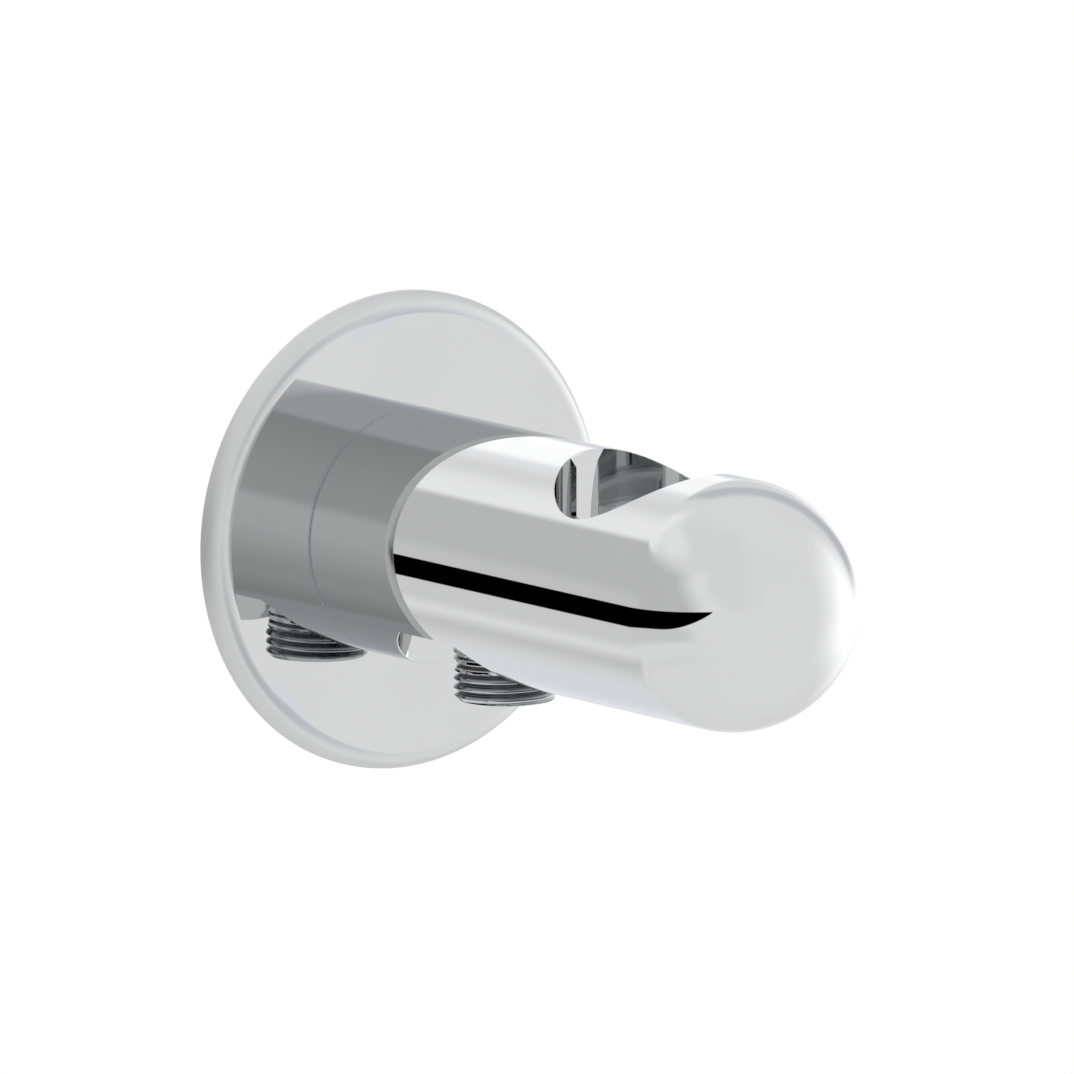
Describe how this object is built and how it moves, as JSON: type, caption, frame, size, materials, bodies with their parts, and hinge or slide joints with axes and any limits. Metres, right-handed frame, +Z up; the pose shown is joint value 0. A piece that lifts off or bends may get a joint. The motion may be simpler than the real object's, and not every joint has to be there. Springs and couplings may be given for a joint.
{
  "type": "wall outlet elbow",
  "caption": "Chromed wall outlet elbow: a round-nosed bar on a round wall flange, with a threaded hose outlet below and an open-sided handset cradle.",
  "frame": {"origin": "on the body's axis in the wall plane, at the back of the flange", "axes": "+Z up, -Y straight out from the wall along the body, +X to the right when facing the wall"},
  "size_m": [0.0962, 0.1535, 0.0962],
  "materials": {
    "chrome": "mirror chrome plate",
    "nipple_chrome": "chrome plate on a cut thread",
    "brass": "turned, bare",
    "steel": "stainless, bright",
    "foam_rubber": "soft, matte",
    "seal_rubber": "smooth, matte",
    "valve_plastic": "moulded, satin",
    "poppet_plastic": "moulded, satin",
    "liner_plastic": "moulded, satin"
  },
  "bodies": {
    "fitting": {"body": "chrome", "wall_flange": "chrome", "flange_gasket": "foam_rubber", "wall_nipple": "brass", "spigot_o_rings": "seal_rubber", "grub_screw": "steel", "outlet_nipple": "nipple_chrome", "nipple_seal": "seal_rubber", "valve_housing": "valve_plastic", "valve_o_ring": "seal_rubber", "valve_spring": "steel", "holder_insert": "liner_plastic"},
    "poppet": {"valve_poppet": "poppet_plastic"}
  },
  "joints": [
    {"name": "valve_lift", "type": "slide", "parent": "fitting", "child": "poppet", "axis": [0, 0, -1], "range_m": [0, 0.0022], "stiffness_N_per_m": 120, "springref_m": -0.004, "deforming": ["valve_spring"]}
  ]
}
